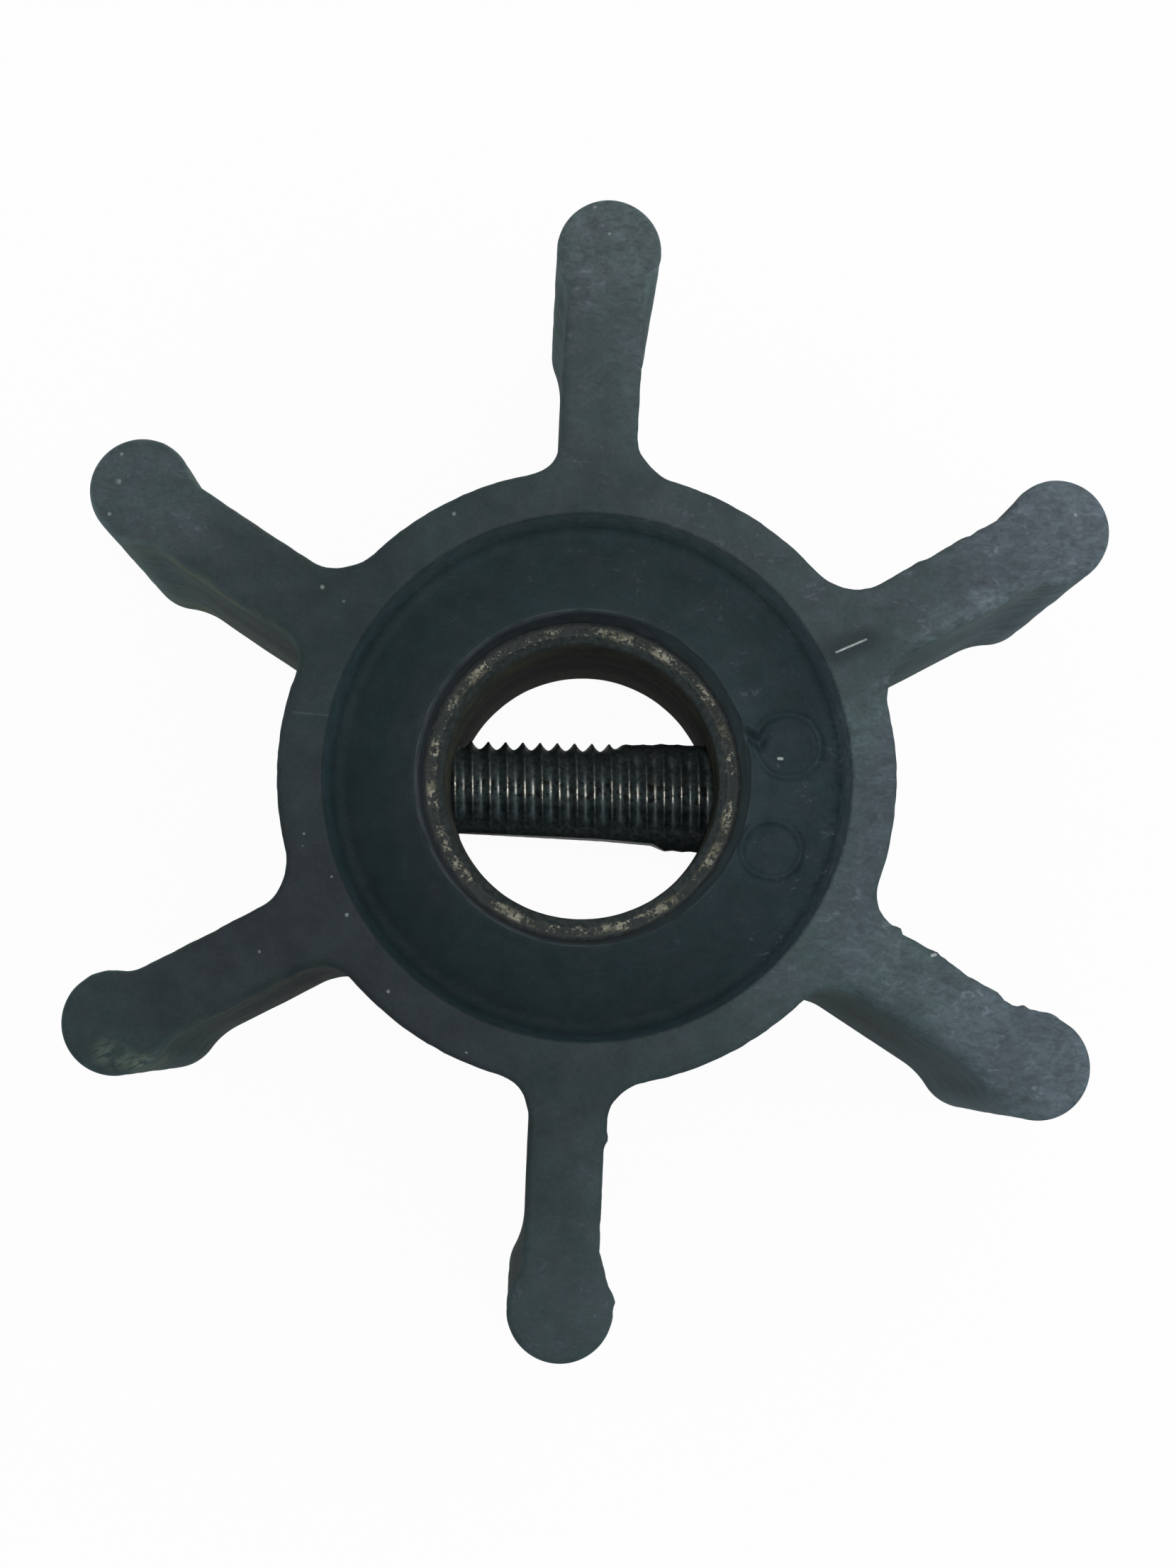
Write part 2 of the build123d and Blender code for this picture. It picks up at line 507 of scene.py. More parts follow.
def inner_rows():
    """Rows of the body's inside, from the front rim over the recess, the bush and the back."""
    front = recess_profile(FRONT, BUSH_FRONT, FLOOR_SPACING)
    back = recess_profile(BACK, BUSH_BACK, BACK_FLOOR_SPACING)[::-1]
    hidden = np.array([(BUSH_RADIUS, BUSH_FRONT), (BUSH_RADIUS, BUSH_BACK)])
    rows = turned(np.concatenate([front, hidden, back]), RECESS_COLUMNS)
    x, y, z = np.moveaxis(rows, 2, 0)
    radius = np.hypot(x, y)
    on_front = (z > BUSH_FRONT - 0.01) & (radius > RING_RADIUS + 0.01)
    free = ease(radius, RING_RADIUS, RING_RADIUS + 0.2) * on_front
    free *= 1 - ease(radius, *RECESS_WALL_START)
    texture = noise_layers(rows.reshape(-1, 3), FLOOR_TEXTURE).reshape(x.shape)
    rows[..., 2] += (floor_relief(x, y) + texture) * free
    ragged = noise_layers(rows.reshape(-1, 3), LIP_RAGGED).reshape(x.shape)
    near_lip = 1 - ease(radius, 7.2, 8.4)
    rise = np.clip((z - BUSH_FRONT) / (FRONT - LIP_DEPTH - BUSH_FRONT), 0, 1)
    spread = LIP_SPREAD + LIP_UNEVEN * np.cos(np.arctan2(y, x) - LIP_ANGLE)
    spread = ragged * near_lip + spread * rise * (1 - ease(radius, 7.5, 9))
    swell = 1 + spread * on_front / np.maximum(radius, 1)
    rows[..., 0] = x * swell + bush_shift(z) * (1 - ease(radius, 7.6, 10))
    rows[..., 1] = y * swell
    return rows


# The end faces are sunk a little and unevenly
FACE_SINK = 0.02
FACE_UNEVEN_WIDTH = 2.2


def build_rubber_body():
    outside = side_rows()
    inside = inner_rows()
    count = len(outside[0])
    starts = [i * count for i in range(len(outside))]
    total = len(outside) * count
    inner_starts = [total + i * RECESS_COLUMNS for i in range(len(inside))]
    faces = [face[::-1] for face in band_faces(starts, count)]
    faces += band_faces(inner_starts, RECESS_COLUMNS)
    points = outside + [inside.reshape(-1, 3)]
    total += len(inside) * RECESS_COLUMNS

    ends = ((0, 0, FRONT, 1), (len(outside) - 1, len(inside) - 1, BACK, 2))
    for outer_row, inner_row, z, seed in ends:
        grid, triangles = face_triangles(outside[outer_row][:, :2], inside[inner_row][:, :2], seed)
        level = np.column_stack([grid, np.full(len(grid), z)])
        sink = FACE_SINK + noise_layers(level, ((FACE_SINK, FACE_UNEVEN_WIDTH, 10 + seed),))
        level[:, 2] += sink if z == BACK else -sink
        points.append(level)
        index = np.concatenate([
            starts[outer_row] + np.arange(count),
            inner_starts[inner_row] + np.arange(RECESS_COLUMNS),
            total + np.arange(len(grid)),
        ])
        placed = [tuple(int(index[i]) for i in triangle) for triangle in triangles]
        faces += placed if z == FRONT else [triangle[::-1] for triangle in placed]
        total += len(grid)
    return make_object("rubber_impeller_body", np.concatenate(points), faces)


# ---- the bush

BORE_RADIUS = 6
BORE_CHAMFER = 0.4
RELIEF_RADIUS = 6.12  # worn open where the screw crosses
RELIEF_HALF_WIDTH = 3
BACK_MOUTH_WEAR = 0.15
FRONT_MOUTH_WEAR = 0.1
BUSH_COLUMNS = 640
FINE_SPACING = 0.1  # of the profile's points near the front ring
COARSE_SPACING = 0.45

# Pits in the ring that the rubber leaves bare, and the bore's uneven wall
RING_PIT_DEPTH = 0.05
RING_PITS = (0.3, 11)  # width and seed
RING_PIT_THRESHOLD = 0.1
FINE_RING_PITS = ((0.03, 0.14, 12),)
BORE_WAVES = ((0.012, 1.2, 13), (0.004, 0.4, 14))


def bush_profile():
    """(radius, height) once round the bush's wall, fine near the ring and coarse elsewhere."""
    corners = [
        (BUSH_RADIUS, MIDDLE, 0),
        (BUSH_RADIUS, BUSH_FRONT, 0),
        (RING_RADIUS + 0.1, BUSH_FRONT, 0),
        (BORE_RADIUS + BORE_CHAMFER, BUSH_FRONT, 0.12),
        (BORE_RADIUS, BUSH_FRONT - BORE_CHAMFER, 0.2),
        (BORE_RADIUS, MIDDLE + RELIEF_HALF_WIDTH, 3),
        (RELIEF_RADIUS, MIDDLE, 0),
    ]
    first, *others = rounded_profile(corners, FINE_SPACING)
    upper = [first]
    for point in others:
        near_ring = point[1] > BUSH_FRONT - 1 and point[0] < RING_RADIUS + 0.2
        if near_ring or point is others[-1] or math.dist(point, upper[-1]) > COARSE_SPACING:
            upper.append(point)
    upper = np.array(upper)
    lower = upper[1:-1][::-1] * (1, -1) + (0, 2 * MIDDLE)
    return np.concatenate([upper, lower])


def build_bush():
    profile = bush_profile()
    rows = turned(profile, BUSH_COLUMNS).reshape(-1, 3)
    radius = np.hypot(rows[:, 0], rows[:, 1])
    above = rows[:, 2] - MIDDLE
    on_ring = ease(np.abs(above) - (BUSH_FRONT - MIDDLE), -0.35, -0.02)
    on_ring *= 1 - ease(radius, RING_RADIUS - 0.02, RING_RADIUS + 0.06)
    pits = np.clip(soft_noise(rows, *RING_PITS) - RING_PIT_THRESHOLD, -1, 0)
    pits = RING_PIT_DEPTH * pits + noise_layers(rows, FINE_RING_PITS)
    rows[:, 2] += np.sign(above) * np.minimum(pits, 0) * on_ring
    in_bore = 1 - ease(radius, BORE_RADIUS + 0.3, BORE_RADIUS + 0.6)
    above = rows[:, 2] - MIDDLE
    worn = BACK_MOUTH_WEAR * ease(-above, -2, 6.5)
    worn += FRONT_MOUTH_WEAR * ease(above, 3.5, 7)
    swell = 1 + in_bore * (worn + noise_layers(rows, BORE_WAVES)) / BORE_RADIUS
    rows[:, 0] = rows[:, 0] * swell + bush_shift(rows[:, 2])
    rows[:, 1] *= swell
    starts = [i * BUSH_COLUMNS for i in range(len(profile))]
    return make_object("bronze_hub_bush", rows, band_faces(starts + [0], BUSH_COLUMNS))


# ---- the drive screw

THREAD_PITCH = 0.8
THREAD_DEPTH = 0.36
CREST_PHASE = 0.62
CREST_FLAT = 0.07
VALLEY_ROUNDING = 1.7
SCREW_COLUMNS = 128
STEPS_PER_PITCH = 14
SCREW_CHAMFER = 0.6
SCREW_PITS = ((0.03, 0.35, 21), (0.02, 0.15, 22))

# The crests' radius along the screw: the shaft has worn it thinner towards -X
CREST_PLACES = (-8, -5.6, -4.4, 0, 1.5, 3, 3.6, 8)
CREST_RADII = (2.42, 2.22, 2.22, 2.34, 2.38, 2.44, 2.5, 2.5)
# How far its worn lower side reaches towards -Y
WORN_FLAT_PLACES = (-8, 1, 3.3, 3.9, 8)
WORN_FLAT_LEVELS = (2.06, 2.12, 2.22, 2.5, 2.5)
# The share of the thread that is gone: packed with dirt on top at the right, and worn off below
PACKED_SHARE = 0.92
WORN_OFF_SHARE = 0.9


def thread_depth(x, angle):
    """0 on a crest and 1 in a valley, for a right-hand thread, narrow on top and round below."""
    phase = (x / THREAD_PITCH + angle / (2 * math.pi) - CREST_PHASE + 0.5) % 1 - 0.5
    off = np.clip((np.abs(phase) * 2 - CREST_FLAT) / (1 - CREST_FLAT), 0, 1)
    return 1 - (1 - off) ** VALLEY_ROUNDING


def build_screw():
    """The thread as a helical wave on a cylinder along X, worn where the shaft bears on it."""
    step = THREAD_PITCH / STEPS_PER_PITCH
    xs = np.linspace(-SCREW_END, SCREW_END, round(2 * SCREW_END / step) + 1)
    angles = np.arange(SCREW_COLUMNS) * 2 * math.pi / SCREW_COLUMNS
    x, angle = np.meshgrid(xs, angles, indexing="ij")
    packed = PACKED_SHARE * ease(x, 1.1, 1.9) * ease(np.sin(angle), 0.55, 0.9)
    worn_off = WORN_OFF_SHARE * ease(-np.sin(angle), 0.3, 0.8)
    depth = THREAD_DEPTH * (1 - np.maximum(packed, worn_off))
    radius = np.interp(x, CREST_PLACES, CREST_RADII) - depth * thread_depth(x, angle)
    radius = np.minimum(radius, SCREW_RADIUS - SCREW_CHAMFER + SCREW_END - np.abs(x))
    y, up = radius * np.sin(angle), radius * np.cos(angle)
    pitted = np.stack([x, y, up + MIDDLE], -1).reshape(-1, 3)
    pits = np.minimum(noise_layers(pitted, SCREW_PITS), 0).reshape(x.shape)
    shrink = 1 + pits / SCREW_RADIUS
    y = np.maximum(y * shrink, -np.interp(x, WORN_FLAT_PLACES, WORN_FLAT_LEVELS))
    points = np.stack([x, y, up * shrink + MIDDLE], -1).reshape(-1, 3)
    starts = [i * SCREW_COLUMNS for i in range(len(xs))]
    faces = [face[::-1] for face in band_faces(starts, SCREW_COLUMNS)]
    faces.append(tuple(range(SCREW_COLUMNS)))
    faces.append(tuple(reversed(range(starts[-1], starts[-1] + SCREW_COLUMNS))))
    return make_object("threaded_drive_screw", points, faces)


# ---- materials

def srgb(red, green, blue):
    """A colour given as 0-255 screen values, as linear RGBA."""
    shares = [value / 255 for value in (red, green, blue)]
    linear = [s / 12.92 if s <= 10 / 255 else ((s + 0.055) / 1.055) ** 2.4 for s in shares]
    return (*linear, 1)


def fill(node, inputs):
    """Links or sets a node's inputs, given in order or by name."""
    for key, value in inputs.items() if isinstance(inputs, dict) else enumerate(inputs):
        if isinstance(value, bpy.types.NodeSocket):
            node.id_data.links.new(value, node.inputs[key])
        else:
            node.inputs[key].default_value = value


def add_node(tree, kind, inputs=(), **settings):
    node = tree.nodes.new("ShaderNode" + kind)
    for name, setting in settings.items():
        setattr(node, name, setting)
    fill(node, inputs)
    return node


class Nodes:
    """Short helpers for one material's node tree. Lengths are given in mm."""

    def __init__(self, name):
        self.material = bpy.data.materials.new(name)
        self.material.use_nodes = True
        self.tree = self.material.node_tree
        self.shader = self.tree.nodes["Principled BSDF"]
        coordinates = add_node(self.tree, "TexCoord").outputs
        scaled = {0: coordinates["Object"], 3: 1 / MM}
        self.position = self.new("VectorMath", scaled, operation="SCALE")
        self.x, self.y, self.z = self.split(self.position)
        self.flat = self.joined(self.x, self.y, 0)
        _, self.toward_y, up = self.split(coordinates["Normal"])
        self.upright = self.absolute(up)

    def new(self, kind, inputs, output=0, **settings):
        return add_node(self.tree, kind, inputs, **settings).outputs[output]

    def math(self, operation, *values, clamp=False):
        return self.new("Math", values, operation=operation, use_clamp=clamp)

    def chained(self, operation, values):
        return functools.reduce(lambda total, value: self.math(operation, total, value), values)

    def add(self, *values):
        return self.chained("ADD", values)

    def times(self, *values):
        return self.chained("MULTIPLY", values)

    def most(self, *values):
        return self.chained("MAXIMUM", values)

    def minus(self, first, second):
        return self.math("SUBTRACT", first, second)

    def absolute(self, value):
        return self.math("ABSOLUTE", value)

    def exp(self, value):
        return self.math("EXPONENT", value)

    def vector_minus(self, first, second):
        return self.new("VectorMath", (first, second), operation="SUBTRACT")

    def length(self, vector):
        return self.new("VectorMath", (vector,), "Value", operation="LENGTH")

    def joined(self, x, y, z):
        return self.new("CombineXYZ", (x, y, z))

    def split(self, vector):
        return tuple(add_node(self.tree, "SeparateXYZ", (vector,)).outputs)

    def depth_below(self, face):
        """How deep a place lies below the nearer end face; face is the front one's height."""
        return self.minus(face - MIDDLE, self.absolute(self.minus(self.z, MIDDLE)))

    def linear(self, *values, kind="LINEAR"):
        """A ramp: value, from low to high, and what low and high turn into."""
        return self.new("MapRange", values, interpolation_type=kind)

    def range(self, value, low, high, to_low=0, to_high=1):
        return self.linear(value, low, high, to_low, to_high, kind="SMOOTHSTEP")

    def where(self, *ranges):
        """The product of several ranges, each given as the arguments of range."""
        return self.times(*[self.range(*values) for values in ranges])

    def between(self, value, low, high, soft):
        """1 where value lies between low and high, fading out over soft beyond them."""
        return self.where((value, low - soft, low), (value, high + soft, high))

    def mix(self, factor, first, second, blend="MIX"):
        inputs = {0: factor, 6: first, 7: second}
        return self.new("Mix", inputs, 2, data_type="RGBA", blend_type=blend)

    def tinted(self, colour, tint):
        return self.mix(1, colour, tint, "MULTIPLY")

    def shaded(self, colour, value):
        return self.tinted(colour, self.joined(value, value, value))

    def mapped(self, place, sizes, shift):
        scale = [1 / size for size in sizes]
        return self.new("Mapping", {"Vector": place, "Location": shift, "Scale": scale})

    def noise(self, size, detail=3, rough=0.55, distortion=0, place=None, seed=0):
        """Noise whose features are about size wide; size may be one number or three."""
        sizes = size if isinstance(size, tuple) else (size, size, size)
        place = self.mapped(place or self.position, sizes, (3.1 * seed, 7.7 * seed, 1.9 * seed))
        inputs = {"Vector": place, "Scale": 1, "Detail": detail, "Roughness": rough}
        return self.new("TexNoise", {**inputs, "Distortion": distortion}, "Fac")

    def specks(self, spacing, reach, share, seed):
        """1 in scattered round specks of a radius, in this share of places at a spacing."""
        place = self.mapped(self.position, (spacing,) * 3, (5.3 * seed, 2.9 * seed, 8.1 * seed))
        cells = add_node(self.tree, "TexVoronoi", {"Vector": place, "Scale": 1}).outputs
        chance = add_node(self.tree, "SeparateColor", (cells["Color"],)).outputs
        filled = self.math("LESS_THAN", chance[0], share)
        size = self.linear(chance[1], 0, 1, 0.5, 1.3)
        near = self.math("LESS_THAN", self.times(cells["Distance"], spacing / reach), size)
        return self.times(filled, near)

    def near_line(self, start, end, reach, soft):
        """1 within reach of a line between two (x, y) places, fading out over soft."""
        along = (end[0] - start[0], end[1] - start[1], 0)
        offset = self.vector_minus(self.flat, (*start, 0))
        dot = self.new("VectorMath", (offset, along), "Value", operation="DOT_PRODUCT")
        share = self.math("DIVIDE", dot, along[0] ** 2 + along[1] ** 2, clamp=True)
        nearest = self.new("VectorMath", {0: along, 3: share}, operation="SCALE")
        return self.range(self.length(self.vector_minus(offset, nearest)), reach + soft, reach)

    def near_spot(self, place, reach, soft):
        """1 within reach of an (x, y) place, fading out over soft."""
        gap = self.length(self.vector_minus(self.flat, (*place, 0)))
        return self.range(gap, reach + soft, reach)

    def bump(self, height, strength, distance):
        inputs = {"Strength": strength, "Distance": distance * MM, "Height": height}
        return self.new("Bump", inputs)


# Marks on the rubber, as (x, y) places; scuffs as (start, end, reach, fade, strength)
SCRATCH = ((10.62, 5.93), (11.89, 6.55))
HAIR = ((-12.86, 2.19), (-11.01, 2.12))
SCUFFS = (
    ((-19, -13.5), (-20.2, -12.9), 0.1, 0.8, 0.25),
    ((-17.6, -13.2), (-18.6, -13.3), 0.1, 0.6, 0.3),
    ((-20.1, 9.2), (-20.5, 9.4), 0.1, 0.6, 0.12),
)
# Small glints as (start, end), and dust as (x, y, size)
GLINTS = (((8.40, 1.30), (8.55, 1.30)), ((15.3, -7.1), (15.45, -7.05)))
DUST = (
    (-0.8, 25.1, 0.07), (-0.1, 23.95, 0.07), (-20.95, 13.15, 0.07), (-21.02, 11.93, 0.12),
    (-21.34, 10.5, 0.08), (-11.92, 7.72, 0.09), (-10.95, 7.16, 0.06), (-6.34, 11.22, 0.08),
    (-12.17, -3.07, 0.05), (-12.2, -3.6, 0.04), (-10.88, -4.88, 0.05), (-10.14, -6.5, 0.08),
    (-13.83, -8.26, 0.06), (-8.19, -9.73, 0.07), (-4.69, -12.21, 0.05),
)

# Where the rubber is paler or darker than its surroundings: (start, end, reach, fade, strength)
PALE_PLACES = (
    ((12.6, 1.5), (9.8, -8.6), 1.6, 3, 0.33), ((14.2, -7.7), (17, -8.8), 0.7, 1.8, 0.28),
    ((15, -9.6), (17, -11.2), 0.6, 1.8, 0.09), ((-19, 11.2), (-22.2, 11.6), 1.2, 2.2, 0.32),
    ((-12.4, 4.8), (-9.6, 9), 0.8, 2, -0.14), ((-5.5, 11.8), (0.5, 12.8), 0.6, 1.6, -0.09),
    ((-14, -9), (-16.5, -10), 1.5, 1.8, -0.13), ((-12.5, -3), (-6, -11), 1.4, 3, -0.18),
    ((-12.3, -1), (-12, -4), 0.3, 1.2, 0.09), ((0.3, 16.5), (0.2, 18.5), 0.3, 1.2, 0.06),
    ((1.7, 14.5), (2.1, 18.5), 0.5, 1.2, 0.16), ((1.6, -16), (1.8, -24.3), 0.3, 1.4, 0.17),
    ((-1.9, -13), (-2.2, -21), 0.3, 1.4, -0.09), ((-0.6, -12.8), (0.8, -14), 0.5, 1.5, -0.06),
    ((12.2, 6.6), (10.4, 6), 0.3, 0.9, -0.2), ((14.4, 6.1), (17, 7.7), 0.4, 1.5, 0.24),
    ((14, 9.2), (16.5, 10), 0.5, 1.5, -0.12), ((20, 11.5), (21.5, 12.4), 1, 3, -0.18),
)

# Where it is a little greener: (start, end)
GREEN_PLACES = (((-12.6, 3.5), (-7, 10.6)), ((-18.5, -11.5), (-21, -12.5)))

# Where it is a little bluer: (start, end, reach, fade)
BLUE_PLACES = (
    ((-17.5, -10), (-12, -6), 1, 2), ((-12, -4.5), (-4.5, -12.5), 1, 1.8),
    ((13.2, 2.5), (11.8, -7.5), 0.1, 1.4),
)

# The rubber's colours. A pair is mixed from patch to patch, or from one side to the other.
FACE_COLOURS = (srgb(46, 57, 59), srgb(49, 57, 61))
DUST_AND_SHEEN_FACE = srgb(52, 59, 65)  # dust and painted sheen on the vanes' ends at the right
BLUER_FACE = srgb(48, 56, 61)
RECESS_COLOURS = (srgb(29, 42, 45), srgb(34, 43, 47))
GREEN_SCUFFS = (srgb(78, 92, 72), srgb(106, 112, 78))  # on the vanes' sides, below and above
GREY_SCUFFS = srgb(100, 106, 98)
LIT_LIP_WALL_COLOURS = (srgb(45, 52, 57), srgb(64, 77, 81))  # painted light on the lip's wall, paler than the recess; left and right
LIP_HIGHLIGHT = srgb(84, 92, 97)
BRIGHT_GRAIN = srgb(122, 132, 138)
SCRATCH_SHADE = srgb(26, 36, 38)
FACE_SCUFFS = srgb(112, 128, 110)
DUST_AND_GLINT_COLOUR = srgb(186, 194, 192)


class RubberNodes(Nodes):
    """Node helpers with what the rubber's zones share."""

    def __init__(self):
        super().__init__("worn_rubber")
        self.off_axis = self.length(self.flat)
        self.depth = self.depth_below(FRONT)
        self.corner = self.add(self.x, self.y)  # grows towards the upper right
        self.in_recess = self.where((self.depth, 0.05, 0.35), (self.off_axis, 11.85, 11.55))
        sideways = self.minus(1, self.upright)
        self.on_side = self.times(sideways, self.range(self.off_axis, 11.9, 12.6))
        self.patch = self.noise(1.5, detail=3, rough=0.6, seed=3)
        self.grain = self.noise((0.5, 0.3, 0.4), detail=3, distortion=0.9, seed=4)
        self.fine = self.noise(0.14, detail=2, rough=0.6, seed=5)

    def along_vanes(self, width, turn_scale, height):
        """The place in coordinates round the axis, for streaks that run along a vane."""
        turn = self.times(self.math("ARCTAN2", self.y, self.x), turn_scale)
        out = self.times(self.off_axis, 1 / width)
        return self.joined(out, turn, self.times(self.z, 1 / height))


def dust_and_light_field(n):
    """How dusty the rubber is, with painted light that makes it paler towards the upper right;
    there is also more dust on the vanes' ends.
    """
    cloud = n.noise(3.6, detail=2, seed=2)
    return n.add(
        n.times(n.x, 0.53 / 24),
        n.times(n.y, 0.27 / 24),
        n.linear(n.off_axis, 13.5, 25.5, 0, 0.5),
        n.times(n.minus(cloud, 0.5), 0.45),
        *[n.times(n.near_line(*place), strength) for *place, strength in PALE_PLACES],
    )


def face_colour(n):
    colour = n.mix(n.range(n.patch, 0.38, 0.66), *FACE_COLOURS)
    # Dust and painted sheen on the vanes' ends at the right
    dusty_and_lit = n.where((n.x, 10, 17), (n.off_axis, 15, 21), (n.patch, 0.25, 0.6, 0.55, 1))
    colour = n.mix(dusty_and_lit, colour, DUST_AND_SHEEN_FACE)
    colour = n.mix(n.most(*[n.near_line(*place) for place in BLUE_PLACES]), colour, BLUER_FACE)
    red = n.add(
        n.linear(n.y, -24, 24, 0.94, 1.05),
        n.range(n.y, 15, 23, 0, 0.05),
        *[n.times(n.near_line(*place, 1, 2.2), -0.06) for place in GREEN_PLACES],
    )
    return n.tinted(colour, n.joined(red, 1, 0.985))


def recess_colour(n):
    """Darker than the face, with brown beside the lip at the left and paler beside it at the right;
    painted light makes it darker towards the bottom and paler towards the upper right.
    """
    colour = n.mix(n.range(n.patch, 0.4, 0.7), *RECESS_COLOURS)
    # Painted light: darker towards the bottom and paler towards the upper right
    level = n.add(
        n.linear(n.y, -10, 1, 0.81, 1.03),
        n.range(n.corner, 6, 14, 0, 0.02),
        n.times(n.range(n.x, 4, 7, 0, 0.17), n.between(n.off_axis, 7.2, 7.8, 0.3)),
    )
    brown = n.times(n.range(n.x, -4.8, -6.8, 0, 0.2), n.between(n.off_axis, 7.1, 8.5, 0.6))
    red = n.add(n.linear(n.corner, -13, 8, 0.81, 0.99), brown)
    green = n.add(1, n.times(brown, -0.1))
    blue = n.range(n.add(n.x, n.times(n.y, -0.6)), 1, 9, 0.985, 1.03)
    return n.tinted(n.shaded(colour, level), n.joined(red, green, blue))


def light_recess_wall(n, colour):
    """Painted light on the recess: its wall much paler, most at the upper right, and the outer part
    of its floor paler at the upper right and darker at the lower left.
    """
    outer = n.times(n.where((n.off_axis, 9.9, 10.5), (n.off_axis, 11.3, 11.05)), n.in_recess)
    paler = n.times(outer, n.linear(n.corner, -16, 8, -0.17, 0.2))
    colour = n.shaded(colour, n.exp(paler))
    wall = n.times(n.range(n.off_axis, 11.16, 11.38), n.in_recess)
    # Painted light on the wall, paler towards the upper right
    brightened = n.exp(n.add(0.98, n.times(n.corner, 0.1 / 11.5)))
    red = n.times(brightened, n.range(n.corner, -13, 4, 1.03, 1.16))
    return n.mix(wall, colour, n.tinted(colour, n.joined(red, brightened, n.times(brightened, 0.99))))


def side_level(n, streak):
    """How pale the vanes' sides are beside the face, as painted light and shade: paler at the left
    and darker at the right, painted light on the rounded edges and painted shade deep down; times
    the streaks.
    """
    # Painted light on the rounded edges between face and side, except at the upper right
    edge = n.times(n.upright, n.minus(1, n.upright), n.range(n.corner, 13, 9, 0, 1.2))
    change = n.add(
        0.31,
        n.times(n.x, -0.0194),
        n.times(n.y, 0.012),
        n.range(n.off_axis, 19.5, 23, 0, 0.2),
        n.range(n.corner, 12, 22, 0, 0.09),
        # Painted shade deep down, most of all near the hub and at the lower left, and at the roots
        # there
        n.where((n.depth, 2, 15), (n.off_axis, 23.5, 17), (n.corner, 0, 20, -0.64, -0.15)),
        n.range(n.depth, 9, 15, 0, -0.13),
        n.range(n.y, 14.5, 17, 0, -0.2),
        n.where((n.off_axis, 21, 14.5), (n.corner, -10, -22, 0, -0.44)),
        # The bulb at the lower right, and the upper left vane
        n.where((n.off_axis, 20.5, 23), (n.x, 6, 12), (n.y, -3, -7, 0, 0.24)),
        n.where((n.x, -6, -12), (n.y, 2, 6), (n.off_axis, 15, 22.5, 0.09, -0.11)),
        edge,
    )
    return n.times(n.exp(change), n.linear(streak, 0.32, 0.7, 0.84, 1.2))


def side_colour(n, colour):
    """The vanes' sides, with fine streaks along them and scuffs, yellow-green on the left."""
    place = n.along_vanes(2.8, 3, 1.6)
    streak = n.noise(1, detail=5, rough=0.62, distortion=0.6, place=place, seed=6)
    redder = n.where((n.x, -6, -12), (n.y, 2, 6, 0, 0.05))
    red = n.add(n.range(n.toward_y, -0.3, 0.3, 0.86, 0.94), redder)
    colour = n.tinted(n.shaded(colour, side_level(n, streak)), n.joined(red, 1, 0.96))
    place = n.along_vanes(1.3, 8, 0.3)
    stroke = n.noise(1, detail=3, rough=0.6, distortion=0.5, place=place, seed=9)
    broken = n.where((n.depth, 9, 2), (streak, 0.42, 0.6), (stroke, 0.42, 0.62, 0.1, 1))
    scuffs = n.times(n.between(n.off_axis, 15.5, 21.5, 1.5), broken)
    green = n.mix(n.range(n.y, -2, 2), *GREEN_SCUFFS)
    colour = n.mix(n.times(scuffs, n.range(n.x, -6, -12, 0, 0.75)), colour, green)
    upper_right = n.where((n.x, 6, 12), (n.y, 2, 6, 0, 0.55))
    return n.mix(n.times(scuffs, upper_right), colour, GREY_SCUFFS)


def add_grain(n, colour, dusty_and_lit):
    """Grain that swings most where dust and painted light make the rubber paler, and a mottle
    everywhere.
    """
    strong = n.range(dusty_and_lit, 0.3, 1, 0.1, 0.3)
    swing = n.times(n.linear(n.grain, 0.3, 0.7, -1, 1), strong)
    colour = n.shaded(colour, n.add(1, swing))
    mottle = n.noise(1.1, detail=3, rough=0.6, seed=8)
    colour = n.shaded(colour, n.linear(mottle, 0.3, 0.7, 0.86, 1.14))
    return n.shaded(colour, n.linear(n.fine, 0.3, 0.7, 0.9, 1.1))


def colour_lip(n, colour):
    """The lip round the bush: a painted highlight along its edge, strongest on the left, and
    painted light that makes its wall a little paler.
    """
    x = n.add(n.x, -BUSH_SHIFT_FRONT)
    off_axis = n.length(n.joined(x, n.y, 0))
    uneven = n.times(n.add(x, n.y), LIP_UNEVEN / math.sqrt(2))
    lip = n.add(LIP_RADIUS + LIP_SPREAD, n.math("DIVIDE", uneven, off_axis))
    off_lip = n.minus(off_axis, lip)
    on_wall = n.where((off_lip, 0, -0.12), (n.depth, 1.5, 1.7, 0, 0.9))
    colour = n.mix(on_wall, colour, n.mix(n.range(n.x, 0, 6), *LIT_LIP_WALL_COLOURS))
    # Painted highlight along the lip's edge
    lip_highlight = n.where((n.x, 5, -5, 0.2, 0.62), (n.patch, 0.3, 0.6, 0.5, 1))
    lip_highlight = n.times(lip_highlight, n.between(off_lip, -0.07, 0, 0.08), n.in_recess)
    return n.mix(lip_highlight, colour, LIP_HIGHLIGHT)


